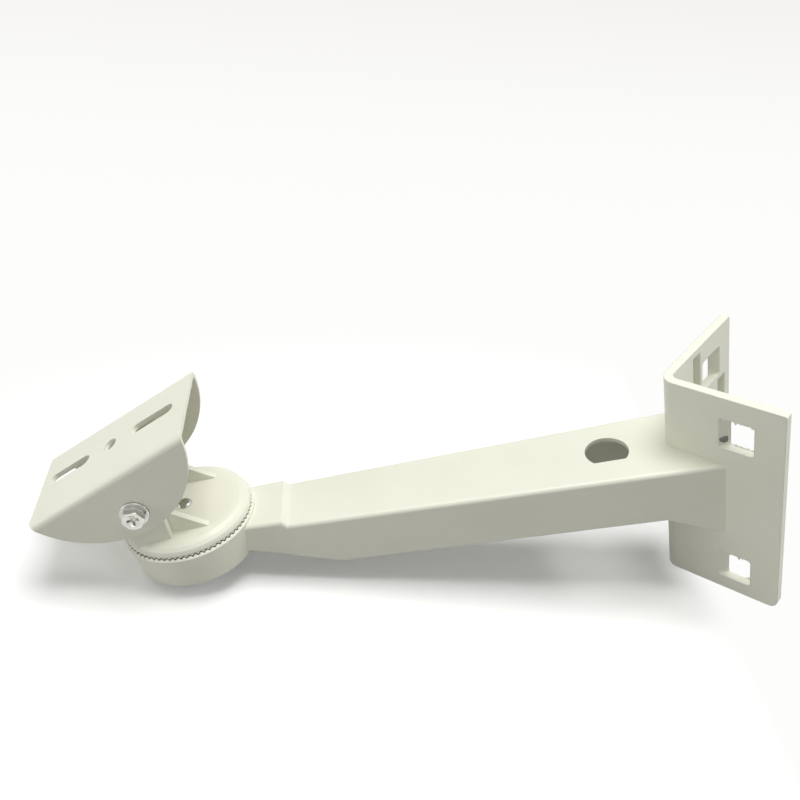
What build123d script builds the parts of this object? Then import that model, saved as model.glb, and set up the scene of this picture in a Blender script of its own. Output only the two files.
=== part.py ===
from build123d import *
import math
import os

# Pole and corner mount bracket for a camera, in millimetres.
# The fold line of the V plate runs along Z. The pole lies on the +X side and the arm reaches
# out along -X. The origin is the inner fold corner, half way up the plate.

# V plate, cast in one piece with the arm and the head
plate_height = 100.0
wing_length = 51.5
plate_wall = 3.5
wing_angle = 45.0
fold_inner_radius = 2.5
tip_low_radius = 4.0
tip_high_radius = 1.0

# Four band windows, cored straight along X through both wings
window_offset = 22.9
window_width = 10.2
window_height = 14.2
window_end_wall = 8.1
window_row_drop = 1.5
window_corner = 1.2

# Relief pockets cored into the pole side of each wing
inner_pocket_near = 12.4
inner_pocket_far = 16.6
inner_pocket_end_wall = 3.0
tip_pocket_near = 26.8
tip_pocket_far = 31.2
tip_pocket_height = 48.0
pocket_depth = 3.0

# Arm, a hollow beam open below, narrowing towards the head
head_reach = 199.3
arm_wall = 3.0
arm_top_wall = 1.9
arm_root_half_width = 19.5
arm_narrowing = 0.0378
arm_top_level = 18.1
arm_top_rise = 0.0175
arm_low_level = -6.4
arm_low_rise = 0.0305
arm_edge_radius = 1.8
root_flare_reach = 7.6
root_flare_slope = 0.52
knee_reach = 140.7
neck_low_end_level = 10.8
step_reach = 158.3
step_run = 2.0
neck_top_level = 23.3

# Cable hole in the top of the arm, with one flat side
cable_hole_reach = 26.6
cable_hole_radius = 8.8
cable_flat_offset = 6.1

# Head, a shallow cup with a ring of radial teeth on top
teeth_level = 25.4
ring_radius = 26.4
ring_inner_radius = 18.8
rim_chamfer = 1.0
rim_ledge = 0.08
head_height = 17.6
head_low_radius = 25.6
head_low_fillet = 2.4
head_wall = 3.0
head_deck = 6.0
centre_relief = 1.2
boss_radius = 9.0
boss_height = 4.0

# Radial teeth
tooth_count = 72
tooth_depth = 0.9
tooth_share = 0.86
tooth_overlap = 0.1
corner_steps = 4
mesh_gap = 0.5

# Swivel base
base_rim_height = 1.4
base_height = 5.0
base_top_radius = 20.6
hub_gap = 0.3
hinge_height = 22.6
hinge_offset = 11.6
ear_width = 17.2
ear_thickness = 6.0
gusset_thickness = 2.7
gusset_centre = 14.75
gusset_reach = 11.6
gusset_height = 10.7

# Camera plate, a folded sheet with two round cheeks
sheet_wall = 2.0
sheet_bend_radius = 1.2
camera_plate_length = 75.0
camera_plate_width = 44.4
camera_plate_rise = 18.25
cheek_drop = 9.8
camera_tilt = 23.2
camera_hole_radius = 3.2
slot_length = 21.2
slot_width = 5.8
slot_end_wall = 5.45
slot_row_forward = 1.6
slot_row_aside = 2.8
cheek_gap = 0.3

# M6 centre bolt and its washers
bolt_radius = 3.0
bolt_across_flats = 10.0
bolt_head_height = 4.0
bolt_washer_radius = 6.2
bolt_spring_washer_radius = 5.3
bolt_washer_thickness = 1.5
bolt_hole_clearance = 0.3
bolt_tip_height = 1.0

# M5 tilt screws and their washers
screw_radius = 2.5
screw_across_flats = 8.0
screw_head_height = 2.7
screw_washer_radius = 5.8
screw_spring_washer_radius = 4.4
screw_washer_thickness = 1.0
screw_length = 15.0
head_dish_radius = 3.2
head_dish_depth = 0.8
cross_span = 4.8
cross_width = 1.1
cross_depth = 1.8

# Fits of all the fasteners
thread_clearance = 0.05
pivot_clearance = 0.08
washer_clearance = 0.2
washer_sides = 36
washer_split = 1.0
split_angle = 30.0
tip_chamfer = 0.7
seat_gap = 0.05

# Places worked out from the sizes above
sin_wing = math.sin(math.radians(wing_angle))
cos_wing = math.cos(math.radians(wing_angle))
fold_depth = plate_wall / sin_wing
window_level = (plate_height - window_height) / 2 - window_end_wall
inner_pocket_height = plate_height - 2 * inner_pocket_end_wall
slot_spacing = camera_plate_length - slot_length - 2 * slot_end_wall
head_place = Pos(-head_reach, 0, teeth_level)
hinge_place = head_place * Pos(-hinge_offset, 0, hinge_height)
ear_outer = camera_plate_width / 2 - sheet_wall - cheek_gap


def top_level(x):
    """Height of the arm's top face at a place along the arm."""
    return arm_top_level - arm_top_rise * (x + fold_depth)


def low_level(x):
    """Height of the arm's lower edge at a place between the plate and the knee."""
    return arm_low_level - arm_low_rise * (x + fold_depth)


def half_width(x):
    """Half the arm's width at a place along the arm."""
    return arm_root_half_width + arm_narrowing * (x + fold_depth)


def wing_point(side, along, inward):
    """Plan point on a wing, measured along its outer face and then in towards the pole."""
    x = -fold_depth + along * cos_wing + inward * sin_wing
    y = side * (along * sin_wing - inward * cos_wing)
    return (x, y)


def v_plate():
    """Both wings as one extrusion, with the fold and the tip corners rounded."""
    outline = [
        (-fold_depth, 0),
        wing_point(1, wing_length, 0),
        wing_point(1, wing_length, plate_wall),
        (0, 0),
        wing_point(-1, wing_length, plate_wall),
        wing_point(-1, wing_length, 0),
    ]
    profile = make_face(Polyline(*outline, close=True))
    plate = Pos(0, 0, -plate_height / 2) * extrude(profile, plate_height)
    upright = plate.edges().filter_by(Axis.Z)
    outer_fold = upright.sort_by(Axis.X)[0]
    plate = fillet(outer_fold, fold_inner_radius + plate_wall)
    inner_fold = plate.edges().filter_by(Axis.Z).sort_by(lambda edge: abs(edge.center().X) + abs(edge.center().Y))[0]
    plate = fillet(inner_fold, fold_inner_radius)
    for side in (1, -1):
        across = Vector(sin_wing, -side * cos_wing, 0)
        tips = [edge for edge in plate.edges() if edge.geom_type == GeomType.LINE
                and abs(abs((edge % 0.5).dot(across)) - 1) < 1e-6
                and edge.center().X > wing_length * cos_wing - fold_depth - plate_wall
                and edge.center().Y * side > 0]
        tips.sort(key=lambda edge: edge.center().Z)
        plate = fillet(tips[0], tip_low_radius)
        high = [edge for edge in plate.edges() if edge.geom_type == GeomType.LINE
                and abs(abs((edge % 0.5).dot(across)) - 1) < 1e-6
                and edge.center().Z > plate_height / 2 - tip_high_radius
                and edge.center().Y * side > 0]
        high.sort(key=lambda edge: edge.center().X)
        plate = fillet(high[-1], tip_high_radius)
    return plate


def band_windows():
    """Four straight cores that cut the windows for the pole bands."""
    length = 2 * (wing_length + plate_wall)
    opening = RectangleRounded(window_width, window_height, window_corner)
    core = extrude(Plane.YZ * opening, length, both=True)
    levels = (window_level - window_row_drop, -window_level - window_row_drop)
    return [Pos(0, side * window_offset, level) * core for side in (1, -1) for level in levels]


def relief_pocket(side, near, far, height):
    """A blind core into the pole side of one wing, with its floor parallel to the wing."""
    proud = plate_wall
    outline = [
        (near - pocket_depth, side * near),
        (near + proud, side * near),
        (far + proud, side * far),
        (far - pocket_depth, side * far),
    ]
    profile = make_face(Polyline(*outline, close=True))
    return Pos(0, 0, -height / 2) * extrude(profile, height)


def arm_beam():
    """The tapering hollow arm from the plate to the head, open below."""
    root_x = -fold_depth / 2
    root_half = (half_width(root_x)) / (1 - arm_narrowing)
    root_side_x = root_x + root_half * cos_wing / sin_wing
    head_half = half_width(-head_reach)
    plan = [
        (root_x, 0),
        (root_side_x, root_half),
        (-head_reach, head_half),
        (-head_reach, -head_half),
        (root_side_x, -root_half),
    ]
    knee_x = -knee_reach
    knee_z = low_level(knee_x)
    neck_end_z = neck_low_end_level
    neck_end_x = -head_reach + ring_radius - head_wall
    front_x = wing_length
    flare_x = -root_flare_reach
    flare_z = low_level(flare_x)
    side_view = [
        (front_x, top_level(front_x)),
        (-step_reach, top_level(-step_reach)),
        (-step_reach - step_run, neck_top_level),
        (-head_reach, neck_top_level),
        (-head_reach, neck_end_z),
        (neck_end_x, neck_end_z),
        (knee_x, knee_z),
        (flare_x, flare_z),
        (front_x, flare_z - root_flare_slope * (front_x - flare_x)),
    ]
    deep = plate_height / 2
    block = Pos(0, 0, -deep) * extrude(make_face(Polyline(*plan, close=True)), 2 * deep)
    sides = extrude(Plane.XZ * make_face(Polyline(*side_view, close=True)), deep, both=True)
    beam = block & sides
    long_top = [edge for edge in beam.edges() if edge.center().Z > top_level(0) - 1
                and abs(edge.center().Y) > head_half - 1 and abs((edge % 0.5).Y) < 0.3
                and edge.center().X > -head_reach + 1]
    beam = fillet(long_top, arm_edge_radius)
    hollow_end_x = -head_reach + ring_radius + 2 * head_wall
    hollow_end_half = half_width(hollow_end_x) - arm_wall
    hollow_plan = [
        (root_side_x, root_half - arm_wall),
        (hollow_end_x, hollow_end_half),
        (hollow_end_x, -hollow_end_half),
        (root_side_x, -(root_half - arm_wall)),
    ]
    hollow_side = [
        (front_x, top_level(front_x) - arm_top_wall),
        (-head_reach, top_level(-head_reach) - arm_top_wall),
        (-head_reach, -deep),
        (front_x, -deep),
    ]
    hollow = Pos(0, 0, -deep) * extrude(make_face(Polyline(*hollow_plan, close=True)), 2 * deep)
    hollow = hollow & extrude(Plane.XZ * make_face(Polyline(*hollow_side, close=True)), deep, both=True)
    return beam - hollow


def cable_core():
    """Round core with one flat side, for the cable hole."""
    disc = Circle(cable_hole_radius)
    flat = Pos(0, cable_hole_radius - cable_flat_offset, 0) * Rectangle(4 * cable_hole_radius, 2 * cable_hole_radius)
    core = extrude(disc & flat, 2 * arm_top_level)
    return Pos(-cable_hole_reach, 0, 0) * core


def rounded_corner(centre, across, high, start, stop):
    """Profile points round an elliptic corner, so that the turned edge is a run of short cones."""
    step = (stop - start) / corner_steps
    angles = [math.radians(start + index * step) for index in range(corner_steps + 1)]
    return [(centre[0] + across * math.cos(angle), centre[1] + high * math.sin(angle)) for angle in angles]


def tooth_band(low_radius, low, high_radius, high, start):
    """Block with one flat side for each tooth, between two heights, with its first corner at an angle."""
    angles = [math.radians(start + index * 360 / tooth_count) for index in range(tooth_count)]
    lower = [(low_radius * math.cos(angle), low_radius * math.sin(angle), low) for angle in angles]
    upper = [(high_radius * math.cos(angle), high_radius * math.sin(angle), high) for angle in angles]
    faces = [make_face(Polyline(*lower, close=True)), make_face(Polyline(*upper, close=True))]
    for index in range(tooth_count):
        after = (index + 1) % tooth_count
        faces.append(make_face(Polyline(lower[index], lower[after], upper[after], upper[index], close=True)))
    return Solid(Shell([side.face() for side in faces]))


def tooth_corners(radius):
    """The V of one tooth at a radius, carried on above the ring's plane."""
    half = radius * math.tan(math.radians(180 / tooth_count * tooth_share))
    deep = tooth_depth * radius / ring_radius
    high = tooth_overlap * radius / ring_radius
    wide = half * (deep + high) / deep
    return [(radius, -wide, high), (radius, wide, high), (radius, 0, -deep)]


def tooth_wedge():
    """One radial V wedge that points down and passes both edges of the ring, with flat sides."""
    inner = tooth_corners(ring_inner_radius - 2 * rim_chamfer)
    outer = tooth_corners(ring_radius + 2 * rim_chamfer)
    faces = [make_face(Polyline(*inner, close=True)), make_face(Polyline(*outer, close=True))]
    for first, second in ((0, 1), (1, 2), (2, 0)):
        corners = (inner[first], inner[second], outer[second], outer[first])
        faces.append(make_face(Polyline(*corners, close=True)))
    return Solid(Shell([sheet.face() for sheet in faces]))


def tooth_grooves(start):
    """All the grooves of one tooth ring, about the Z axis, from a first angle on."""
    wedge = tooth_wedge()
    return [Rot(0, 0, start + index * 360 / tooth_count) * wedge for index in range(tooth_count)]


def head_cup():
    """The turned form of the head, with the chamfered tooth band on it and the boss under the deck."""
    rim_radius = ring_radius + rim_chamfer
    corner = (head_low_radius - head_low_fillet, head_low_fillet - head_height)
    profile = [(0, -rim_chamfer), (rim_radius + rim_ledge, -rim_chamfer)]
    profile += rounded_corner(corner, head_low_fillet, head_low_fillet, 0, -90)
    profile += [
        (head_low_radius - head_wall, -head_height),
        (head_low_radius - head_wall, -head_deck),
        (boss_radius, -head_deck),
        (boss_radius, -head_deck - boss_height),
        (0, -head_deck - boss_height),
    ]
    cup = revolve(Plane.XZ * make_face(Polyline(*profile, close=True)), Axis.Z)
    half_pitch = 180 / tooth_count
    band = tooth_band(rim_radius, -rim_chamfer, ring_radius, 0, half_pitch)
    relief = tooth_band(ring_inner_radius, -centre_relief, ring_inner_radius, centre_relief, half_pitch)
    bolt_hole = Cylinder(bolt_radius + bolt_hole_clearance, 4 * head_height)
    return cup + band - relief - bolt_hole - tooth_grooves(0)


def arm_casting():
    """Plate, arm and head as the one casting that they are."""
    beam = arm_beam()
    head_space = head_place * Pos(0, 0, -head_height) * Cylinder(
        ring_radius - head_wall / 2, head_height * 2, align=(Align.CENTER, Align.CENTER, Align.MIN))
    casting = v_plate() + (beam - head_space) + head_place * head_cup()
    casting = casting - cable_core()
    casting = casting - band_windows()
    pockets = [relief_pocket(side, inner_pocket_near, inner_pocket_far, inner_pocket_height) for side in (1, -1)]
    pockets += [relief_pocket(side, tip_pocket_near, tip_pocket_far, tip_pocket_height) for side in (1, -1)]
    return casting - pockets


def swivel_base():
    """The toothed disc with its two ears and their gussets."""
    ridge_low = mesh_gap - tooth_depth * (2 - 1 / tooth_share)
    band_top = ridge_low + tooth_depth + 2 * tooth_overlap
    hub_low = -centre_relief + hub_gap
    wall_radius = ring_radius + rim_ledge
    corner = (base_top_radius, base_rim_height)
    profile = [(0, base_height)]
    profile += rounded_corner(corner, wall_radius - base_top_radius, base_height - base_rim_height, 90, 0)
    profile += [(wall_radius, band_top), (boss_radius, band_top), (boss_radius, hub_low), (0, hub_low)]
    disc = revolve(Plane.XZ * make_face(Polyline(*profile, close=True)), Axis.Z)
    band = tooth_band(ring_radius, ridge_low, ring_radius, band_top, 0)
    deep = ridge_low - centre_relief
    relief = tooth_band(ring_inner_radius, deep, ring_inner_radius, mesh_gap + centre_relief, 0)
    relief = relief - Cylinder(boss_radius, 4 * base_height)
    turned_over = Pos(0, 0, ridge_low) * Rot(180, 0, 0)
    grooves = [turned_over * groove for groove in tooth_grooves(180 / tooth_count)]
    bore = Cylinder(bolt_radius + thread_clearance, 4 * base_height)
    base = disc + band - relief - grooves - bore
    ear_low = base_rim_height
    upright = Pos(-hinge_offset, (hinge_height + ear_low) / 2) * Rectangle(ear_width, hinge_height - ear_low)
    ear_face = upright + Pos(-hinge_offset, hinge_height) * Circle(ear_width / 2)
    ear_face = ear_face - Pos(-hinge_offset, hinge_height) * Circle(screw_radius + thread_clearance)
    gusset_face = make_face(Polyline(
        (-hinge_offset, base_height / 2),
        (gusset_reach, base_height / 2),
        (gusset_reach, base_height),
        (-hinge_offset + ear_width / 2, base_height + gusset_height),
        (-hinge_offset, base_height + gusset_height),
        close=True))
    trim = Cylinder(ring_radius, 4 * hinge_height)
    for side in (1, -1):
        ear = extrude(Plane.XZ * ear_face, -side * ear_thickness)
        ear = Pos(0, side * (ear_outer - ear_thickness), 0) * ear
        gusset = extrude(Plane.XZ * gusset_face, -side * gusset_thickness)
        gusset = Pos(0, side * (gusset_centre - gusset_thickness / 2), 0) * gusset
        base = base + (ear & trim) + gusset
    return head_place * base


def camera_plate():
    """The folded sheet that carries the camera, at its tilt on the hinge."""
    half_length = camera_plate_length / 2
    half_width_outer = camera_plate_width / 2
    outline = [
        ThreePointArc((-half_length, camera_plate_rise), (0, -cheek_drop), (half_length, camera_plate_rise)),
        Line((half_length, camera_plate_rise), (-half_length, camera_plate_rise)),
    ]
    body = extrude(Plane.XZ * make_face(outline), half_width_outer, both=True)
    top_edges = body.edges().filter_by(Axis.X).group_by(Axis.Z)[-1]
    body = fillet(top_edges, sheet_bend_radius + sheet_wall)
    inner_half = half_width_outer - sheet_wall
    inner_height = camera_plate_rise - sheet_wall + 2 * cheek_drop
    inside = Pos(0, 0, camera_plate_rise - sheet_wall - inner_height / 2) * Box(
        2 * camera_plate_length, 2 * inner_half, inner_height)
    inside = fillet(inside.edges().filter_by(Axis.X).group_by(Axis.Z)[-1], sheet_bend_radius)
    plate = body - inside
    cut_height = 4 * sheet_wall
    cut_place = Pos(-slot_row_forward, slot_row_aside, camera_plate_rise - cut_height / 2)
    hole = cut_place * extrude(Circle(camera_hole_radius), cut_height)
    slot = extrude(SlotOverall(slot_length, slot_width), cut_height)
    slots = [cut_place * Pos(side * slot_spacing / 2, 0, 0) * slot for side in (1, -1)]
    pivot = Rot(90, 0, 0) * Cylinder(screw_radius + pivot_clearance, 2 * camera_plate_width)
    plate = plate - hole - slots - pivot
    return hinge_place * Rot(0, -camera_tilt, 0) * plate


def turned(*profile):
    """Solid turned about Z from the points of its half section."""
    return revolve(Plane.XZ * make_face(Polyline(*profile, close=True)), Axis.Z)


def hex_head(across_flats, height):
    """Hexagon head on the -Z side of the origin, chamfered round its far face."""
    corner_radius = across_flats / math.sqrt(3)
    chamfer_height = (corner_radius - across_flats / 2) * math.tan(math.radians(30))
    prism = Pos(0, 0, -height) * extrude(RegularPolygon(corner_radius, 6), height)
    blank = turned(
        (0, 0), (2 * corner_radius, 0), (2 * corner_radius, chamfer_height - height),
        (corner_radius, chamfer_height - height), (across_flats / 2, -height), (0, -height))
    return prism & blank


def cross_recess_head():
    """Hexagon head with a dished face and a cross recess."""
    face_place = Pos(0, 0, -screw_head_height)
    dish = face_place * turned((0, 0), (head_dish_radius, 0), (head_dish_radius / 2, head_dish_depth),
                               (0, head_dish_depth))
    bar = face_place * extrude(Rectangle(cross_span, cross_width), cross_depth)
    return hex_head(screw_across_flats, screw_head_height) - dish - bar - Rot(0, 0, 90) * bar


def shank(radius, length):
    """Plain shank upwards from the origin, with a chamfered end."""
    return turned((0, 0), (radius, 0), (radius, length - tip_chamfer), (radius - tip_chamfer, length), (0, length))


def washer_ring(radius, shank_radius):
    """Ring with a many sided rim and hole, which keeps the small washers light."""
    hole_radius = (shank_radius + washer_clearance) / math.cos(math.pi / washer_sides)
    return RegularPolygon(radius, washer_sides) - RegularPolygon(hole_radius, washer_sides)


def flat_washer(radius, shank_radius, thickness):
    """Flat washer that lies below the origin."""
    ring = washer_ring(radius, shank_radius)
    return Pos(0, 0, -thickness) * extrude(ring, thickness)


def spring_washer(radius, shank_radius, thickness):
    """Split spring washer, pressed flat below the origin."""
    ring = washer_ring(radius, shank_radius)
    split = Pos(radius, 0, thickness / 2) * Rot(split_angle, 0, 0) * Box(2 * radius, washer_split, 4 * thickness)
    return Pos(0, 0, -thickness) * (extrude(ring, thickness) - split)


def centre_stack():
    """The bolt and washers that clamp the swivel base to the head, from below."""
    seat = head_place * Pos(0, 0, -head_deck - boss_height)
    below_flat = seat * Pos(0, 0, -bolt_washer_thickness)
    below_spring = below_flat * Pos(0, 0, -bolt_washer_thickness)
    length = 2 * bolt_washer_thickness + boss_height + head_deck + base_height + bolt_tip_height
    return {
        "centre_flat_washer": seat * flat_washer(bolt_washer_radius, bolt_radius, bolt_washer_thickness),
        "centre_spring_washer": below_flat * spring_washer(
            bolt_spring_washer_radius, bolt_radius, bolt_washer_thickness),
        "centre_bolt": below_spring * (hex_head(bolt_across_flats, bolt_head_height) + shank(bolt_radius, length)),
    }


def tilt_stack(side, name):
    """One tilt screw with its washers, through a cheek and into an ear."""
    cheek_face = hinge_place * Pos(0, side * (camera_plate_width / 2 + seat_gap), 0)
    seat = cheek_face * Rot(90 * side, 0, 0)
    below_flat = seat * Pos(0, 0, -screw_washer_thickness)
    below_spring = below_flat * Pos(0, 0, -screw_washer_thickness)
    return {
        "tilt_flat_washer_" + name: seat * flat_washer(screw_washer_radius, screw_radius, screw_washer_thickness),
        "tilt_spring_washer_" + name: below_flat * spring_washer(
            screw_spring_washer_radius, screw_radius, screw_washer_thickness),
        "tilt_screw_" + name: below_spring * (cross_recess_head() + shank(screw_radius, screw_length)),
    }


nodes = {
    "arm_casting": arm_casting(),
    "swivel_base": swivel_base(),
    "camera_plate": camera_plate(),
}
nodes.update(centre_stack())
nodes.update(tilt_stack(-1, "front"))
nodes.update(tilt_stack(1, "rear"))

os.makedirs("parts", exist_ok=True)
for name, solid in nodes.items():
    export_step(solid, f"parts/{name}.step")
    print(name, round(solid.volume, 1))
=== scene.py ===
"""Studio scene of a camera pole mount bracket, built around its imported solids.

Every length is in metres in the bracket's own frame: +X towards the pole, +Z up the fold line of
the V plate, and the origin at the inner fold corner, half way up the plate.
"""
import logging
import math
import random
from dataclasses import dataclass
from enum import Enum

import bmesh
import bpy
from mathutils import Matrix, Vector, noise


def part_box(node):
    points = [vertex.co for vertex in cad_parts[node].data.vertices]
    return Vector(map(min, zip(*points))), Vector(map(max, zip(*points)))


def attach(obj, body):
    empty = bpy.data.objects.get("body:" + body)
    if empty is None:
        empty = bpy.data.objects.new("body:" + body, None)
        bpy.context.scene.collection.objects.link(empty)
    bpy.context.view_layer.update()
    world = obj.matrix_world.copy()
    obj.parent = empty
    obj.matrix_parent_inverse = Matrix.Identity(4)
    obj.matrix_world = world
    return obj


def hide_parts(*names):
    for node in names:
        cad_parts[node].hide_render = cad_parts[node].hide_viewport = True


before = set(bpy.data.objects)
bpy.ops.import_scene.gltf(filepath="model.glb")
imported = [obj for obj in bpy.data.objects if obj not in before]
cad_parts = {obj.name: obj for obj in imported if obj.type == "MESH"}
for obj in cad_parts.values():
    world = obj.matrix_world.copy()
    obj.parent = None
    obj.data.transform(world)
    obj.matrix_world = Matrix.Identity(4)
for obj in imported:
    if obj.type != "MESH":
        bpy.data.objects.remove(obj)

LOG = logging.getLogger("bracket")
MM = 0.001
WELD_MM = 0.002
FLAT_ANGLE = 0.6

Triple = tuple[float, float, float]


def linear(code: str) -> tuple[float, float, float, float]:
    """Turn an sRGB hex value into a linear colour.

    Args:
        code: six hex digits, with or without a leading hash.

    Returns:
        Red, green, blue and an alpha of 1.
    """
    digits = code.lstrip("#")
    shares = [int(digits[k:k + 2], 16) / 255 for k in (0, 2, 4)]
    values = [c / 12.92 if c <= 0.04045 else ((c + 0.055) / 1.055) ** 2.4 for c in shares]
    return values[0], values[1], values[2], 1.0


def add_node(tree: bpy.types.NodeTree, kind: str, settings: dict | None = None,
             links: dict | None = None) -> bpy.types.Node:
    """Add a node, set it up and link its inputs.

    Args:
        tree: the node tree that gets the node.
        kind: the node's type name.
        settings: attribute names, or input sockets by number or name, with their values.
        links: input sockets by number or name, each with the output socket that feeds it.

    Returns:
        The new node.
    """
    made = tree.nodes.new(kind)
    for key, value in (settings or {}).items():
        if isinstance(key, str) and hasattr(made, key):
            setattr(made, key, value)
        else:
            made.inputs[key].default_value = value
    for key, source in (links or {}).items():
        tree.links.new(source, made.inputs[key])
    return made


def mix_colours(tree: bpy.types.NodeTree, share: bpy.types.NodeSocket, first: str | bpy.types.NodeSocket,
                second: str) -> bpy.types.NodeSocket:
    """Mix two colours by a share.

    Args:
        tree: the node tree that gets the mix.
        share: the socket that gives the second colour's share.
        first: the first colour, as an sRGB hex value or as the socket that gives it.
        second: the second colour, as an sRGB hex value.

    Returns:
        The socket with the mixed colour.
    """
    settings = {"data_type": "RGBA", 7: linear(second)}
    links = {0: share}
    if isinstance(first, str):
        settings[6] = linear(first)
    else:
        links[6] = first
    return add_node(tree, "ShaderNodeMix", settings, links).outputs[2]


def ramp(tree: bpy.types.NodeTree, value: bpy.types.NodeSocket, start: float, end: float, low: float = 0.0,
         high: float = 1.0, kind: str = "LINEAR") -> bpy.types.NodeSocket:
    """Map a value from one range to another, held at both ends.

    Args:
        tree: the node tree that gets the map.
        value: the socket that gives the value.
        start: the value that becomes low.
        end: the value that becomes high.
        low: the result at the start.
        high: the result at the end.
        kind: LINEAR, or SMOOTHSTEP for soft ends.

    Returns:
        The socket with the result.
    """
    settings = {"interpolation_type": kind, "From Min": start, "From Max": end,
                "To Min": low, "To Max": high}
    return add_node(tree, "ShaderNodeMapRange", settings, {"Value": value}).outputs[0]


def grain_noise(tree: bpy.types.NodeTree, place: bpy.types.NodeSocket, size_mm: float,
                detail: float) -> bpy.types.NodeSocket:
    """Add a noise whose spots have a real size.

    Args:
        tree: the node tree that gets the noise.
        place: the socket that gives object coordinates.
        size_mm: the width of one spot.
        detail: how many finer layers lie on it.

    Returns:
        The socket with the noise.
    """
    settings = {"Scale": 1 / (size_mm * MM), "Detail": detail}
    return add_node(tree, "ShaderNodeTexNoise", settings, {"Vector": place}).outputs["Fac"]


def bump(tree: bpy.types.NodeTree, height: bpy.types.NodeSocket, height_mm: float, strength: float,
         under: bpy.types.NodeSocket | None = None) -> bpy.types.NodeSocket:
    """Turn a height into a bumped normal.

    Args:
        tree: the node tree that gets the bump.
        height: the socket that gives the height, from 0 to 1.
        height_mm: the real height of 1.
        strength: the share of the bump that shows.
        under: the normal that it lies on, or None for the surface's own.

    Returns:
        The socket with the normal.
    """
    links = {"Height": height}
    if under is not None:
        links["Normal"] = under
    settings = {"Strength": strength, "Distance": height_mm * MM}
    return add_node(tree, "ShaderNodeBump", settings, links).outputs[0]


def about(tree: bpy.types.NodeTree, place: bpy.types.NodeSocket, centre_mm: Triple) -> bpy.types.NodeSocket:
    """Measure a place from a centre.

    Args:
        tree: the node tree that gets the mapping.
        place: the socket that gives object coordinates.
        centre_mm: the centre, in the bracket's own frame.

    Returns:
        The socket with the place less the centre.
    """
    settings = {"vector_type": "POINT", "Location": tuple(-c * MM for c in centre_mm)}
    return add_node(tree, "ShaderNodeMapping", settings, {"Vector": place}).outputs[0]


def new_material(name: str) -> tuple[bpy.types.Material, bpy.types.NodeTree]:
    """Make an empty node material.

    Args:
        name: the material's name.

    Returns:
        The material and its node tree, with nothing in it.
    """
    material = bpy.data.materials.new(name)
    material.use_nodes = True
    material.node_tree.nodes.clear()
    return material, material.node_tree


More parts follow.
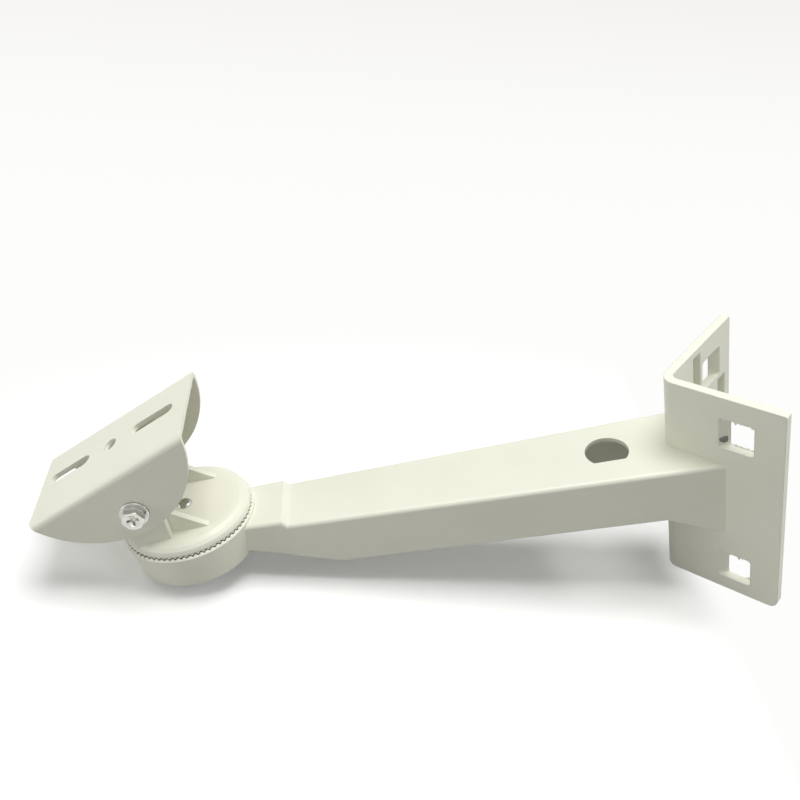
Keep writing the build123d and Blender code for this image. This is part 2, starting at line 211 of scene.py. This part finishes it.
@dataclass(frozen=True)
class PowderCoat:
    """Polyester powder coat, sprayed dry and baked: satin, with a faint orange peel skin.

    The eye gets a warm ivory with a painted highlight on its rounded edges, soft highlights, and
    the dark line between the tooth rings, painted shade over the bare metal there.
    """

    name: str
    body: str
    # lighter colour painted on the rounded edges as a highlight
    edge_highlight: str
    shade: str
    roughness: float
    peel_mm: float = 1.1
    peel_height_mm: float = 0.030
    wave_mm: float = 16.0
    wave_height_mm: float = 0.10
    mottle_mm: float = 34.0
    mottle_share: float = 0.5
    edge_mm: float = 0.55
    highlight_span: tuple[float, float] = (0.995, 0.86)
    highlight_share: float = 0.55
    # dark colour of the gap between the tooth rings: painted shade over the bare metal there
    bare: str = "#47473E"
    ring_centre_mm: Triple = (-199.3, 0.0, 25.4)
    ring_radius_mm: float = 26.38
    ring_edge_mm: float = 0.1
    ring_half_height_mm: float = 1.1

    def build(self) -> bpy.types.Material:
        """Build the coat's material, with its tone, its skin, its softened edges with a painted highlight
        on them, and painted shade between the tooth rings.

        Returns:
            The finished material.
        """
        material, tree = new_material(self.name)
        place = add_node(tree, "ShaderNodeTexCoord").outputs["Object"]
        round_edge = {"samples": 8, "Radius": self.edge_mm * MM}
        soft_edge = add_node(tree, "ShaderNodeBevel", round_edge).outputs[0]
        flat = add_node(tree, "ShaderNodeNewGeometry").outputs["Normal"]
        likeness = add_node(tree, "ShaderNodeVectorMath", {"operation": "DOT_PRODUCT"},
                            {0: soft_edge, 1: flat})
        # painted highlight: the colour turns lighter where the rounded edges bend
        edge = ramp(tree, likeness.outputs["Value"], *self.highlight_span, 0.0, self.highlight_share)
        spots = grain_noise(tree, place, self.mottle_mm, 3.0)
        mottle = ramp(tree, spots, 0.35, 0.7, 0.0, self.mottle_share)
        tone = mix_colours(tree, mottle, self.body, self.shade)
        highlit_edges = mix_colours(tree, edge, tone, self.edge_highlight)
        # painted shade: the gap between the tooth rings is coloured dark
        gap_shaded = mix_colours(tree, self.painted_gap_shade(tree, place), highlit_edges, self.bare)
        wave = grain_noise(tree, place, self.wave_mm, 1.0)
        waved = bump(tree, wave, self.wave_height_mm, 0.6, soft_edge)
        peel = grain_noise(tree, place, self.peel_mm, 2.0)
        peeled = bump(tree, peel, self.peel_height_mm, 0.75, waved)
        gloss = ramp(tree, peel, 0.3, 0.7, self.roughness - 0.05, self.roughness + 0.07)
        shader = add_node(tree, "ShaderNodeBsdfPrincipled", {"IOR": 1.5},
                          {"Base Color": gap_shaded, "Roughness": gloss, "Normal": peeled})
        add_node(tree, "ShaderNodeOutputMaterial", links={"Surface": shader.outputs[0]})
        return material

    def painted_gap_shade(self, tree: bpy.types.NodeTree, place: bpy.types.NodeSocket) -> bpy.types.NodeSocket:
        """Mark the gap between the two tooth rings, coloured dark as painted shade over the bare metal that
        the spray hardly reaches.

        Args:
            tree: the coat's node tree.
            place: the socket that gives object coordinates.

        Returns:
            A socket that is 1 between the rings and 0 elsewhere.
        """
        split = add_node(tree, "ShaderNodeSeparateXYZ", links={0: about(tree, place, self.ring_centre_mm)})
        flat = add_node(tree, "ShaderNodeCombineXYZ", links={0: split.outputs["X"], 1: split.outputs["Y"]})
        reach = add_node(tree, "ShaderNodeVectorMath", {"operation": "LENGTH"}, {0: flat.outputs[0]})
        inside = ramp(tree, reach.outputs["Value"], self.ring_radius_mm * MM,
                      (self.ring_radius_mm - self.ring_edge_mm) * MM)
        height = add_node(tree, "ShaderNodeMath", {"operation": "ABSOLUTE"}, {0: split.outputs["Z"]})
        top = self.ring_half_height_mm * MM
        level = add_node(tree, "ShaderNodeMath", {"operation": "LESS_THAN", 1: top}, {0: height.outputs[0]})
        both = add_node(tree, "ShaderNodeMath", {"operation": "MULTIPLY"}, {0: inside, 1: level.outputs[0]})
        return both.outputs[0]


class Tooling(Enum):
    """How a plated piece was worked before its bath, which is what its fine lines follow."""

    TURNED_ABOUT_Y = "turned about Y"
    TURNED_ABOUT_Z = "turned about Z"
    TUMBLED = "tumbled"


@dataclass(frozen=True)
class BrightPlate:
    """Thin bright plating on steel, from a barrel bath: it mirrors the room through fine tool lines."""

    name: str
    metal: str
    dull: str
    roughness: float
    tooling: Tooling
    centre_mm: Triple
    line_mm: float = 0.30
    line_height_mm: float = 0.006
    stain_mm: float = 3.2
    rings_per_unit: float = 3.2

    def build(self) -> bpy.types.Material:
        """Build the plating's material.

        Returns:
            The finished material.
        """
        material, tree = new_material(self.name)
        place = add_node(tree, "ShaderNodeTexCoord").outputs["Object"]
        centred = about(tree, place, self.centre_mm)
        stain = grain_noise(tree, centred, self.stain_mm, 4.0)
        lines = bump(tree, self.tool_lines(tree, centred), self.line_height_mm, 0.5)
        gloss = ramp(tree, stain, 0.3, 0.7, self.roughness, self.roughness + 0.14)
        tone = mix_colours(tree, stain, self.metal, self.dull)
        shader = add_node(tree, "ShaderNodeBsdfPrincipled", {"Metallic": 1.0},
                          {"Base Color": tone, "Roughness": gloss, "Normal": lines})
        add_node(tree, "ShaderNodeOutputMaterial", links={"Surface": shader.outputs[0]})
        return material

    def tool_lines(self, tree: bpy.types.NodeTree, centred: bpy.types.NodeSocket) -> bpy.types.NodeSocket:
        """Make the height of the fine lines that the tooling left.

        Args:
            tree: the plating's node tree.
            centred: the socket that gives the place from the piece's axis.

        Returns:
            The socket with the height.
        """
        if self.tooling is Tooling.TUMBLED:
            return grain_noise(tree, centred, self.line_mm, 2.0)
        axis = "Y" if self.tooling is Tooling.TURNED_ABOUT_Y else "Z"
        scale = 0.5 / (self.line_mm * MM) / self.rings_per_unit
        rings = add_node(tree, "ShaderNodeTexWave",
                         {"wave_type": "RINGS", "rings_direction": axis, "Scale": scale, "Distortion": 1.5,
                          "Detail": 2.0}, {"Vector": centred})
        return rings.outputs["Fac"]


@dataclass(frozen=True)
class BareCasting:
    """Aluminium die casting skin that the coat missed: dull grey, rough and a little patchy."""

    name: str = "bare_aluminium_die_casting"
    skin: str = "#7E7F7A"
    oxide: str = "#55564F"
    roughness: float = 0.55
    grain_mm: float = 0.5
    grain_height_mm: float = 0.05

    def build(self) -> bpy.types.Material:
        """Build the bare metal's material.

        Returns:
            The finished material.
        """
        material, tree = new_material(self.name)
        place = add_node(tree, "ShaderNodeTexCoord").outputs["Object"]
        grain = grain_noise(tree, place, self.grain_mm, 3.0)
        tone = mix_colours(tree, grain, self.skin, self.oxide)
        rough = bump(tree, grain, self.grain_height_mm, 0.6)
        shader = add_node(tree, "ShaderNodeBsdfPrincipled", {"Metallic": 0.85, "Roughness": self.roughness},
                          {"Base Color": tone, "Normal": rough})
        add_node(tree, "ShaderNodeOutputMaterial", links={"Surface": shader.outputs[0]})
        return material


def node_centre(node: str) -> Vector:
    """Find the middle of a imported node's box.

    Args:
        node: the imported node's name.

    Returns:
        The middle, in metres.
    """
    low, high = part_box(node)
    return (low + high) / 2


def coat_node(node: str, coat: bpy.types.Material) -> None:
    """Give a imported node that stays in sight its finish.

    Args:
        node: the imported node's name.
        coat: the finish.
    """
    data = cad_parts[node].data
    data.materials.clear()
    data.materials.append(coat)
    LOG.info("%s: packed node, finished with %s", node, coat.name)


def finish_piece(mesh: bmesh.types.BMesh, name: str, material: bpy.types.Material,
                 smooth: float) -> bpy.types.Object:
    """Turn a bmesh into a shown object with smooth shading up to an angle.

    Args:
        mesh: the piece's shape, in its place; it is freed here.
        name: the piece's name.
        material: the piece's finish.
        smooth: the largest angle in degrees that is shaded round.

    Returns:
        The new object.
    """
    open_edges = sum(1 for edge in mesh.edges if len(edge.link_faces) != 2)
    data = bpy.data.meshes.new(name)
    mesh.to_mesh(data)
    mesh.free()
    data.shade_smooth()
    data.set_sharp_from_angle(angle=math.radians(smooth))
    data.materials.append(material)
    made = bpy.data.objects.new(name, data)
    bpy.context.scene.collection.objects.link(made)
    even = made.modifiers.new("even_shading", "WEIGHTED_NORMAL")
    even.keep_sharp = True
    LOG.info("%s: %d faces, %d open edges", name, len(data.polygons), open_edges)
    return made


def merged_copy(node: str) -> bmesh.types.BMesh:
    """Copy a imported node's mesh with its loose triangles joined and its flat faces made whole.

    Args:
        node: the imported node's name.

    Returns:
        The copy, still in the node's place.
    """
    mesh = bmesh.new()
    mesh.from_mesh(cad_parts[node].data)
    bmesh.ops.remove_doubles(mesh, verts=mesh.verts, dist=WELD_MM * MM)
    bmesh.ops.dissolve_degenerate(mesh, dist=WELD_MM * MM, edges=mesh.edges)
    bmesh.ops.dissolve_limit(mesh, angle_limit=math.radians(FLAT_ANGLE), use_dissolve_boundaries=False,
                             verts=mesh.verts, edges=mesh.edges, delimit={"NORMAL"})
    return mesh


def soften(mesh: bmesh.types.BMesh, width_mm: float, sharp: float) -> None:
    """Round a mesh's sharp edges with two faces each.

    Args:
        mesh: the mesh to work on.
        width_mm: how far each rounding reaches from the edge.
        sharp: the smallest angle in degrees between two faces that counts as an edge.
    """
    limit = math.radians(sharp)
    edges = [edge for edge in mesh.edges
             if len(edge.link_faces) == 2 and edge.calc_face_angle(0.0) > limit]
    bmesh.ops.bevel(mesh, geom=edges, offset=width_mm * MM, offset_type="OFFSET", segments=2,
                    profile=0.5, affect="EDGES", clamp_overlap=True, material=-1)


def helical_thread(radius_mm: float, pitch_mm: float, depth_mm: float,
                   length_mm: float) -> bmesh.types.BMesh:
    """Make a screw thread about Z from z = 0 up, closed at both ends.

    Args:
        radius_mm: the thread's outer radius.
        pitch_mm: the rise of one turn.
        depth_mm: the depth of the V between two turns.
        length_mm: the thread's length.

    Returns:
        The thread as a closed shell.
    """
    steps = 28
    turns = math.ceil(length_mm / pitch_mm) + 2
    crest = (-0.56, -0.44)
    mesh = bmesh.new()
    root = (radius_mm - depth_mm) * MM
    profile = [(root, -pitch_mm), *((radius_mm * MM, share * pitch_mm) for share in crest), (root, 0.0)]
    verts = [mesh.verts.new((across, 0.0, high * MM)) for across, high in profile]
    edges = [mesh.edges.new(pair) for pair in zip(verts, verts[1:])]
    bmesh.ops.spin(mesh, geom=verts + edges, cent=(0, 0, 0), axis=(0, 0, 1),
                   dvec=(0, 0, pitch_mm * MM / steps), angle=turns * math.tau, steps=turns * steps)
    bmesh.ops.remove_doubles(mesh, verts=mesh.verts, dist=WELD_MM * MM)
    for height, normal in ((0.0, (0, 0, -1)), (length_mm * MM, (0, 0, 1))):
        bmesh.ops.bisect_plane(mesh, geom=mesh.verts[:] + mesh.edges[:] + mesh.faces[:],
                               plane_co=(0, 0, height), plane_no=normal, clear_outer=True)
    bmesh.ops.holes_fill(mesh, edges=[edge for edge in mesh.edges if edge.is_boundary], sides=0)
    bmesh.ops.recalc_face_normals(mesh, faces=mesh.faces)
    return mesh


def join_into(target: bmesh.types.BMesh, part: bmesh.types.BMesh, place: Matrix) -> None:
    """Move one bmesh into place and add it to another.

    Args:
        target: the mesh that takes the part.
        part: the mesh to add; it is freed here.
        place: where the part goes.
    """
    bmesh.ops.transform(part, matrix=place, verts=part.verts)
    carrier = bpy.data.meshes.new("carrier")
    part.to_mesh(carrier)
    part.free()
    target.from_mesh(carrier)
    bpy.data.meshes.remove(carrier)


class WindowEdge(Enum):
    """The edge of a band window that a film of flash stands on, as its sign along Z."""

    SILL = -1
    HEAD = 1


@dataclass(frozen=True)
class Flash:
    """Where one ragged film of metal stands in a window, in millimetres along the wing."""

    name: str
    level_mm: float
    edge: WindowEdge
    from_mm: float
    to_mm: float
    reach_mm: tuple[float, float]


@dataclass
class CastArm:
    """The die casting: V plate, tapering arm and toothed head, with the flash its cores left."""

    coat: bpy.types.Material
    bare: bpy.types.Material
    body: str = "arm"
    node: str = "arm_casting"
    plate_wall_mm: float = 3.5
    window_offset_mm: float = 22.9
    window_size_mm: tuple[float, float] = (10.2, 14.2)
    upper_mm: float = 33.3
    lower_mm: float = -36.3
    film_mm: float = 0.35
    film_inset_mm: float = 0.25
    film_steps: int = 14
    root_mm: float = 0.25
    burr_mm: float = 0.85
    burr_spread: Triple = (2.1, 0.5, 1.5)
    burr_rise_mm: float = 3.2
    seed: int = 7

    def build(self) -> None:
        """Dress the casting and add the thin flash and the burr that the window cores left."""
        coat_node(self.node, self.coat)
        films = (
            Flash("flash_upper_sill", self.upper_mm, WindowEdge.SILL, -6.6, 6.6, (0.2, 1.5)),
            Flash("flash_upper_head", self.upper_mm, WindowEdge.HEAD, -6.4, 6.8, (0.2, 1.6)),
            Flash("flash_lower_sill", self.lower_mm, WindowEdge.SILL, 0.6, 6.6, (0.2, 1.4)),
            Flash("flash_lower_head", self.lower_mm, WindowEdge.HEAD, -5.6, 3.4, (0.2, 1.6)),
        )
        for number, film in enumerate(films):
            self.flash_film(film, random.Random(self.seed + number))
        self.core_burr()

    def flash_film(self, flash: Flash, chance: random.Random) -> bpy.types.Object:
        """Make the ragged film of metal that a core leaves on an edge of a front window.

        Args:
            flash: where the film stands and how far it reaches.
            chance: the source of its ragged edge.

        Returns:
            The film as a closed thin piece.
        """
        mesh = bmesh.new()
        grid = bmesh.ops.create_grid(mesh, x_segments=self.film_steps, y_segments=1, size=0.5)
        low, high = flash.reach_mm
        for vert in grid["verts"]:
            along = flash.from_mm + (vert.co.x + 0.5) * (flash.to_mm - flash.from_mm)
            reach = low + (high - low) * chance.random() ** 2 if vert.co.y > 0 else -self.root_mm
            vert.co = Vector((along, -flash.edge.value * reach, -self.film_mm / 2))
        bmesh.ops.solidify(mesh, geom=mesh.faces[:], thickness=self.film_mm)
        bmesh.ops.recalc_face_normals(mesh, faces=mesh.faces)
        height = self.window_size_mm[1]
        at_head = flash.edge is WindowEdge.HEAD
        depth = self.plate_wall_mm - self.film_inset_mm if at_head else self.film_inset_mm
        stand = Matrix.Translation((self.window_offset_mm - depth * math.sqrt(2), -self.window_offset_mm,
                                    flash.level_mm + flash.edge.value * height / 2))
        turn = Matrix.Rotation(math.radians(-45), 4, "Z") @ Matrix.Rotation(math.radians(90), 4, "X")
        bmesh.ops.transform(mesh, matrix=Matrix.Scale(MM, 4) @ stand @ turn, verts=mesh.verts)
        film = finish_piece(mesh, flash.name, self.coat, 40.0)
        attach(film, self.body)
        return film

    def core_burr(self) -> bpy.types.Object:
        """Make the lump of bare metal on the near side wall of the upper front window.

        Returns:
            The burr as a closed rough lump.
        """
        mesh = bmesh.new()
        bmesh.ops.create_icosphere(mesh, subdivisions=4, radius=self.burr_mm)
        for vert in mesh.verts:
            rough = 0.55 * noise.noise(vert.co * 1.9) + 0.25 * noise.noise(vert.co * 4.7)
            vert.co = vert.co * Vector(self.burr_spread) * (1.0 + rough)
        wide, high = self.window_size_mm
        near_wall = wide / 2 - self.window_offset_mm
        mid_wall = self.plate_wall_mm / math.sqrt(2)
        place = Vector((-near_wall - mid_wall, near_wall, self.upper_mm - high / 2 + self.burr_rise_mm))
        bmesh.ops.transform(mesh, matrix=Matrix.Scale(MM, 4) @ Matrix.Translation(place), verts=mesh.verts)
        burr = finish_piece(mesh, "core_burr", self.bare, 60.0)
        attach(burr, self.body)
        return burr


@dataclass
class SwivelHead:
    """The toothed disc with its ears and gussets, which turns on the head."""

    coat: bpy.types.Material
    node: str = "swivel_base"

    def build(self) -> None:
        """Dress the swivel base."""
        coat_node(self.node, self.coat)


@dataclass
class CameraPlate:
    """The folded sheet with its slots and two round cheeks."""

    coat: bpy.types.Material
    body: str = "camera_plate"
    node: str = "camera_plate"
    edge_mm: float = 0.25

    def build(self) -> bpy.types.Object:
        """Copy the folded sheet and round its sheared edges.

        Returns:
            The dressed sheet.
        """
        mesh = merged_copy(self.node)
        soften(mesh, self.edge_mm, 40.0)
        sheet = finish_piece(mesh, "folded_sheet", self.coat, 32.0)
        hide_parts(self.node)
        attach(sheet, self.body)
        return sheet


@dataclass
class PlatedFastener:
    """One screw or washer of the bracket, with rolled edges and, on a screw, its thread."""

    node: str
    body: str
    slot: str
    finish: bpy.types.Material
    edge_mm: float = 0.2
    sharp: float = 30.0
    smooth: float = 34.0

    def build(self) -> bpy.types.Object:
        """Copy the fastener, round its edges and dress it.

        Returns:
            The finished fastener.
        """
        mesh = merged_copy(self.node)
        soften(mesh, self.edge_mm, self.sharp)
        self.detail(mesh)
        made = finish_piece(mesh, self.node + "_plated", self.finish, self.smooth)
        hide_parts(self.node)
        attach(made, self.body)
        return made

    def detail(self, mesh: bmesh.types.BMesh) -> None:
        """Add what the plain copy lacks; a washer needs nothing more.

        Args:
            mesh: the fastener's shape.
        """


@dataclass
class TiltScrew(PlatedFastener):
    """A hexagon screw with a dished head and a cross recess, cut with an M5 thread."""

    outward: int = -1
    radius_mm: float = 2.5
    pitch_mm: float = 0.8
    thread_depth_mm: float = 0.45
    thread_length_mm: float = 11.5
    shank_mm: float = 14.9
    recess_mm: float = 1.4
    root_gap_mm: float = 0.05
    thread_start_mm: float = 0.6

    def detail(self, mesh: bmesh.types.BMesh) -> None:
        """Draw the shank in to the thread's root and wind the thread round it.

        Args:
            mesh: the screw's shape.
        """
        low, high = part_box(self.node)
        middle = (low + high) / 2
        tip = low.y if self.outward > 0 else high.y
        for vert in mesh.verts:
            across = Vector((vert.co.x - middle.x, vert.co.z - middle.z))
            along = abs(vert.co.y - tip)
            on_shank = self.recess_mm * MM < across.length < (self.radius_mm + self.root_gap_mm) * MM
            if on_shank and along < self.shank_mm * MM:
                across *= (self.radius_mm - self.thread_depth_mm - self.root_gap_mm) / self.radius_mm
                vert.co.x = middle.x + across.x
                vert.co.z = middle.z + across.y
        thread = helical_thread(self.radius_mm, self.pitch_mm, self.thread_depth_mm,
                                self.thread_length_mm)
        turn = Matrix.Rotation(math.radians(-90 * self.outward), 4, "X")
        start = Vector((middle.x, tip + self.outward * self.thread_start_mm * MM, middle.z))
        join_into(mesh, thread, Matrix.Translation(start) @ turn)


@dataclass(frozen=True)
class Lamp:
    """One square soft lamp that faces the bracket, with its place and side in metres."""

    name: str
    place: Triple
    size: float
    watts: float


@dataclass
class Studio:
    """White table, white room, a broad soft lamp above, three weak low ones, and the camera."""

    camera_mm: Triple = (-81.828, -313.463, 283.842)
    camera_right: Triple = (0.98206501, -0.05756032, -0.17954144)
    camera_forward: Triple = (-0.05763233, 0.81503551, -0.57653763)
    lens_mm: float = 44.965
    sensor_mm: float = 36.0
    clip: tuple[float, float] = (0.01, 20.0)
    rest_edge_mm: Triple = (-3.5, 0.0, -50.0)
    table_tilt: float = 14.75
    table_radius: float = 4.0
    table_grey: float = 0.36
    table_shown: float = 0.90
    table_glow: float = 0.16
    table_blue: float = 0.985
    shown_blue: float = 0.995
    glow_blue: float = 0.992
    fade_middle: Triple = (0.068, 0.0, 0.0)
    fade_scale: Triple = (0.62, 1.0, 1.0)
    fade_from: float = 0.07
    fade_to: float = 0.20
    # X span over which white is painted over the bracket's shadow past the plate's foot
    foot_shadow_wipe: tuple[float, float] = (-0.012, 0.016)
    room_fill: float = 0.19
    backdrop_depth: tuple[float, float] = (0.25, 1.3)
    near_white: str = "#FDFDFC"
    far_white: str = "#F3F1EF"
    room_white: str = "#F8F7F5"
    fill_white: str = "#FFFEFA"
    lamp_target: Triple = (-0.10, 0.0, 0.0)
    lamps: tuple[Lamp, ...] = (
        Lamp("key_lamp", (0.14, 0.07, 0.93), 0.55, 7.8),
        Lamp("side_lamp", (-0.95, -0.18, 0.38), 0.5, 2.4),
        Lamp("front_lamp", (-0.25, -0.95, 0.24), 0.5, 1.1),
        Lamp("wing_lamp", (0.95, 0.02, 0.30), 0.5, 4.0),
    )

    def build(self) -> None:
        """Build the room, the table, the lamps and the camera."""
        self.build_camera()
        self.build_table()
        self.build_room()
        for lamp in self.lamps:
            self.build_lamp(lamp)
        bpy.context.scene.view_settings.view_transform = "Standard"

    def build_camera(self) -> None:
        """Set up the camera at the photographed angle."""
        right = Vector(self.camera_right).normalized()
        forward = Vector(self.camera_forward).normalized()
        up = right.cross(forward)
        data = bpy.data.cameras.new("camera")
        data.lens = self.lens_mm
        data.sensor_width = self.sensor_mm
        data.clip_start, data.clip_end = self.clip
        camera = bpy.data.objects.new("camera", data)
        rows = Matrix((right, up, -forward)).transposed().to_4x4()
        camera.matrix_world = Matrix.Translation(Vector(self.camera_mm) * MM) @ rows
        bpy.context.scene.collection.objects.link(camera)
        bpy.context.scene.camera = camera

    def build_table(self) -> None:
        """Lay the white table under the fold's foot and the head's far edge."""
        mesh = bmesh.new()
        bmesh.ops.create_circle(mesh, cap_ends=True, segments=64, radius=self.table_radius)
        turn = Matrix.Rotation(math.radians(self.table_tilt), 4, "Y")
        rest = Matrix.Translation(Vector(self.rest_edge_mm) * MM)
        bmesh.ops.transform(mesh, matrix=rest @ turn, verts=mesh.verts)
        data = bpy.data.meshes.new("table")
        mesh.to_mesh(data)
        mesh.free()
        data.materials.append(self.table_material())
        table = bpy.data.objects.new("table", data)
        bpy.context.scene.collection.objects.link(table)

    def seen_directly(self, tree: bpy.types.NodeTree) -> bpy.types.NodeSocket:
        """Tell the rays that see or mirror a surface from those that only light one.

        Args:
            tree: the node tree that asks.

        Returns:
            A socket that is 1 for camera, glossy and transmission rays.
        """
        path = add_node(tree, "ShaderNodeLightPath")
        seen = add_node(tree, "ShaderNodeMath", {"operation": "MAXIMUM"},
                        {0: path.outputs["Is Camera Ray"], 1: path.outputs["Is Glossy Ray"]})
        seen = add_node(tree, "ShaderNodeMath", {"operation": "MAXIMUM"},
                        {0: seen.outputs[0], 1: path.outputs["Is Transmission Ray"]})
        return seen.outputs[0]

    def table_material(self) -> bpy.types.Material:
        """Matt white laminate that keeps a shadow near the bracket and fades into the white room, painted
        white over the shadow past the foot.

        Returns:
            The table's material.
        """
        material, tree = new_material("matt_white_laminate_table")
        seen = self.seen_directly(tree)
        place = add_node(tree, "ShaderNodeTexCoord").outputs["Object"]
        split = add_node(tree, "ShaderNodeSeparateXYZ", links={0: place})
        depth = ramp(tree, split.outputs["Y"], *self.backdrop_depth, kind="SMOOTHSTEP")
        backdrop = mix_colours(tree, depth, self.near_white, self.far_white)
        grey = (self.table_grey, self.table_grey, self.table_grey * self.table_blue, 1.0)
        matt = add_node(tree, "ShaderNodeBsdfDiffuse", {"Color": grey})
        pale = (self.table_shown, self.table_shown, self.table_shown * self.shown_blue, 1.0)
        paper = add_node(tree, "ShaderNodeBsdfDiffuse", {"Color": pale})
        glow = add_node(tree, "ShaderNodeEmission",
                        {"Color": (1.0, 1.0, self.glow_blue, 1.0), "Strength": self.table_glow})
        near = add_node(tree, "ShaderNodeAddShader", links={0: paper.outputs[0], 1: glow.outputs[0]})
        white = add_node(tree, "ShaderNodeEmission", {"Strength": 1.0}, {"Color": backdrop})
        shown = add_node(tree, "ShaderNodeMixShader",
                         links={0: self.away_from_bracket(tree, place, split.outputs["X"]),
                                1: near.outputs[0], 2: white.outputs[0]})
        lit = add_node(tree, "ShaderNodeMixShader",
                       links={0: seen, 1: matt.outputs[0], 2: shown.outputs[0]})
        back = add_node(tree, "ShaderNodeNewGeometry").outputs["Backfacing"]
        clear = add_node(tree, "ShaderNodeBsdfTransparent")
        both = add_node(tree, "ShaderNodeMixShader",
                        links={0: back, 1: lit.outputs[0], 2: clear.outputs[0]})
        add_node(tree, "ShaderNodeOutputMaterial", links={"Surface": both.outputs[0]})
        return material

    def away_from_bracket(self, tree: bpy.types.NodeTree, place: bpy.types.NodeSocket,
                          along: bpy.types.NodeSocket) -> bpy.types.NodeSocket:
        """Mark where the table fades into the white room, far from the bracket and past its foot, painting
        out the bracket's shadow there.

        Args:
            tree: the table's node tree.
            place: the socket that gives object coordinates.
            along: the socket that gives their X.

        Returns:
            A socket that is 0 round the bracket and 1 where only white is left.
        """
        middle = add_node(tree, "ShaderNodeMapping",
                          {"vector_type": "POINT", "Location": self.fade_middle, "Scale": self.fade_scale},
                          {"Vector": place})
        gap = add_node(tree, "ShaderNodeVectorMath", {"operation": "LENGTH"}, {0: middle.outputs[0]})
        far = ramp(tree, gap.outputs["Value"], self.fade_from, self.fade_to, kind="SMOOTHSTEP")
        # painted light: past the plate's foot the table turns white over the bracket's shadow
        shadow_wiped_past_foot = ramp(tree, along, *self.foot_shadow_wipe, kind="SMOOTHSTEP")
        return add_node(tree, "ShaderNodeMath", {"operation": "MAXIMUM"}, {0: far, 1: shadow_wiped_past_foot}).outputs[0]

    def build_room(self) -> None:
        """Fill the room with even light, and show it white where it is seen or mirrored."""
        world = bpy.data.worlds.new("white_room")
        world.use_nodes = True
        tree = world.node_tree
        tree.nodes.clear()
        seen = self.seen_directly(tree)
        fill = add_node(tree, "ShaderNodeBackground",
                        {"Color": linear(self.fill_white), "Strength": self.room_fill})
        white = add_node(tree, "ShaderNodeBackground", {"Color": linear(self.room_white), "Strength": 1.0})
        mixed = add_node(tree, "ShaderNodeMixShader",
                         links={0: seen, 1: fill.outputs[0], 2: white.outputs[0]})
        add_node(tree, "ShaderNodeOutputWorld", links={"Surface": mixed.outputs[0]})
        bpy.context.scene.world = world

    def build_lamp(self, lamp: Lamp) -> None:
        """Hang one lamp and turn it to the bracket.

        Args:
            lamp: the lamp's place, side and power.
        """
        data = bpy.data.lights.new(lamp.name, "AREA")
        data.shape = "SQUARE"
        data.size = lamp.size
        data.energy = lamp.watts
        hung = bpy.data.objects.new(lamp.name, data)
        towards = Vector(self.lamp_target) - Vector(lamp.place)
        facing = towards.to_track_quat("-Z", "Y").to_matrix().to_4x4()
        hung.matrix_world = Matrix.Translation(Vector(lamp.place)) @ facing
        bpy.context.scene.collection.objects.link(hung)


def build_bracket() -> None:
    """Build and dress every part of the bracket."""
    # the third colour of each coat is the painted highlight on its edges
    cast_coat = PowderCoat("ivory_powder_coat_on_casting", "#E8E8D9", "#F1F1E6", "#E1E1D0", 0.42).build()
    sheet_coat = PowderCoat("ivory_powder_coat_on_sheet", "#E8E8D9", "#F0F0E5", "#E2E2D2", 0.42,
                            wave_height_mm=0.03, edge_mm=0.15).build()
    CastArm(cast_coat, BareCasting().build()).build()
    SwivelHead(cast_coat).build()
    CameraPlate(sheet_coat).build()
    hinge = node_centre("tilt_screw_front") / MM
    centre = node_centre("centre_bolt") / MM
    nickel_y = BrightPlate("bright_nickel_turned_screw", "#D9D8D4", "#BDBBB5", 0.16,
                           Tooling.TURNED_ABOUT_Y, (hinge.x, 0.0, hinge.z)).build()
    nickel_z = BrightPlate("bright_nickel_turned_bolt", "#D9D8D4", "#BDBBB5", 0.16,
                           Tooling.TURNED_ABOUT_Z, (centre.x, 0.0, 0.0)).build()
    zinc = BrightPlate("bright_zinc_tumbled_washer", "#CFCFCC", "#AFAFAB", 0.26,
                       Tooling.TUMBLED, (0.0, 0.0, 0.0)).build()
    for side, outward in (("front", -1), ("rear", 1)):
        TiltScrew(f"tilt_screw_{side}", "swivel", "bright_screw", nickel_y,
                  outward=outward, edge_mm=0.18).build()
        PlatedFastener(f"tilt_flat_washer_{side}", "swivel", "bright_washer", zinc, edge_mm=0.25).build()
        PlatedFastener(f"tilt_spring_washer_{side}", "swivel", "bright_washer", zinc, edge_mm=0.15).build()
    PlatedFastener("centre_bolt", "centre_bolt", "bright_screw", nickel_z, edge_mm=0.25).build()
    PlatedFastener("centre_flat_washer", "centre_bolt", "bright_washer", zinc, edge_mm=0.25).build()
    PlatedFastener("centre_spring_washer", "centre_bolt", "bright_washer", zinc, edge_mm=0.15).build()


def main() -> None:
    """Build the bracket and the studio."""
    logging.basicConfig(level=logging.INFO, format="%(message)s")
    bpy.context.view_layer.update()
    build_bracket()
    Studio().build()
    bpy.context.view_layer.update()


if __name__ == "__main__":
    main()
